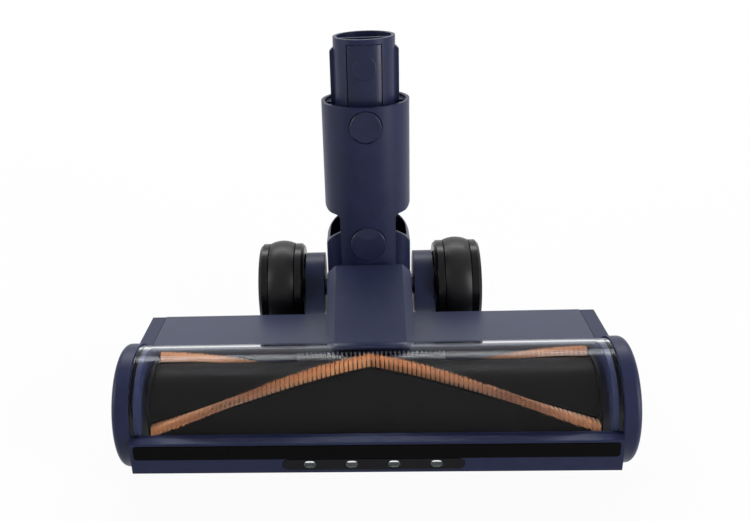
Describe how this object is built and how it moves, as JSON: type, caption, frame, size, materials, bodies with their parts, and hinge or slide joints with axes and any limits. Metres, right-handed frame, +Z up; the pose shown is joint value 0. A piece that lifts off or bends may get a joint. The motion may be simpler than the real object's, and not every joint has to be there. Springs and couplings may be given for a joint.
{
  "type": "vacuum cleaner floor head",
  "caption": "Motorised floor head of a stick vacuum: bristle roller behind a clear window, lamp strip, rear wheels and a neck that tilts and swivels up to a latched wand spigot",
  "frame": {"origin": "centre of the bounding box at floor level, under the wheels' contact", "axes": "+X to the head's right seen from behind the camera, along the roller and the longest side; +Y from the front bumper back to the neck; +Z up"},
  "size_m": [0.25, 0.1832, 0.175],
  "materials": {
    "navy_shell": "dark navy moulded plastic with a satin surface",
    "clear_window": "clear glossy plastic",
    "black_pad": "soft black strip, matt",
    "smoked_bezel": "smoked black, glossy",
    "lamp_lens": "clear lens",
    "circuit_board": "green board",
    "comb_grey": "grey moulding",
    "bright_steel": "bright steel",
    "black_moulding": "black moulded plastic",
    "belt_rubber": "black toothed belt rubber",
    "bearing_bronze": "plain bronze or brass",
    "roller_black": "black plastic, half gloss",
    "tan_bristle": "tan nylon bristle in dense tufts",
    "wheel_black": "black plastic, glossy",
    "wheel_tyre": "smooth black rubber with a polished crown",
    "hose_black": "black ribbed hose"
  },
  "bodies": {
    "head": {"base_housing": "navy_shell", "rear_chassis": "navy_shell", "top_housing": "navy_shell", "left_side_cover": "navy_shell", "right_side_cover": "navy_shell", "roller_window": "clear_window", "front_bumper": "navy_shell", "bumper_pad": "black_pad", "lamp_bezel": "smoked_bezel", "lamp_lenses": "lamp_lens", "lamp_board": "circuit_board", "hair_comb": "comb_grey", "brush_motor": "bright_steel", "motor_end_bell": "black_moulding", "control_board": "circuit_board", "drive_belt": "belt_rubber", "left_roller_bush": "bearing_bronze", "right_roller_bush": "bearing_bronze", "left_axle_pin": "bright_steel", "right_axle_pin": "bright_steel", "sole_wheel_pins": "bright_steel", "sole_screws": "bright_steel", "duct_hose": "hose_black"},
    "roller": {"roller_core": "roller_black", "left_roller_cap": "roller_black", "right_roller_cap": "roller_black", "bristle_strips": "tan_bristle", "roller_shaft": "bright_steel", "roller_pulley": "black_moulding"},
    "motor_rotor": {"motor_shaft": "bright_steel", "rotor_core": "bright_steel", "motor_pulley": "black_moulding"},
    "left_wheel": {"left_wheel_hub": "wheel_black", "left_wheel_tyre": "wheel_tyre", "left_hub_cap": "wheel_black"},
    "right_wheel": {"right_wheel_hub": "wheel_black", "right_wheel_tyre": "wheel_tyre", "right_hub_cap": "wheel_black"},
    "left_caster": {"left_sole_wheel": "black_moulding"},
    "right_caster": {"right_sole_wheel": "black_moulding"},
    "yoke": {"yoke_shell": "navy_shell", "swivel_hose": "hose_black"},
    "neck": {"neck_tube": "navy_shell", "wand_spigot": "navy_shell", "front_swivel_pin": "navy_shell", "rear_swivel_pin": "navy_shell", "terminal_block": "black_moulding", "terminal_blades": "bearing_bronze", "latch_spring": "bright_steel"},
    "latch": {"latch_tongue": "navy_shell", "release_button": "navy_shell"}
  },
  "joints": [
    {"name": "roller_spin", "type": "hinge", "parent": "head", "child": "roller", "pos_m": [0, -0.05498, 0.027], "axis": [1, 0, 0], "continuous": true},
    {"name": "motor_spin", "type": "hinge", "parent": "head", "child": "motor_rotor", "pos_m": [0, -0.00948, 0.0235], "axis": [1, 0, 0], "continuous": true},
    {"name": "left_wheel_spin", "type": "hinge", "parent": "head", "child": "left_wheel", "pos_m": [-0.051, 0.04722, 0.0276], "axis": [1, 0, 0], "continuous": true},
    {"name": "right_wheel_spin", "type": "hinge", "parent": "head", "child": "right_wheel", "pos_m": [0.051, 0.04722, 0.0276], "axis": [1, 0, 0], "continuous": true},
    {"name": "left_caster_spin", "type": "hinge", "parent": "head", "child": "left_caster", "pos_m": [-0.095, -0.02298, 0.005], "axis": [1, 0, 0], "continuous": true},
    {"name": "right_caster_spin", "type": "hinge", "parent": "head", "child": "right_caster", "pos_m": [0.095, -0.02298, 0.005], "axis": [1, 0, 0], "continuous": true},
    {"name": "neck_pitch", "type": "hinge", "parent": "head", "child": "yoke", "pos_m": [0, 0.04722, 0.0276], "axis": [-1, 0, 0], "range_deg": [0, 75], "deforming": ["duct_hose"]},
    {"name": "neck_swivel", "type": "hinge", "parent": "yoke", "child": "neck", "pos_m": [0, 0.05367, 0.06241], "axis": [0, -0.9833, 0.1822], "range_deg": [-40, 40], "deforming": ["swivel_hose"]},
    {"name": "latch_press", "type": "slide", "parent": "neck", "child": "latch", "axis": [0, 0.9833, -0.1822], "range_m": [0, 0.0025], "stiffness_N_per_m": 800, "springref_m": -0.0015, "deforming": ["latch_spring"]}
  ],
  "couplings": [
    {"joint": "motor_spin", "follows": "roller_spin", "ratio": 2}
  ]
}
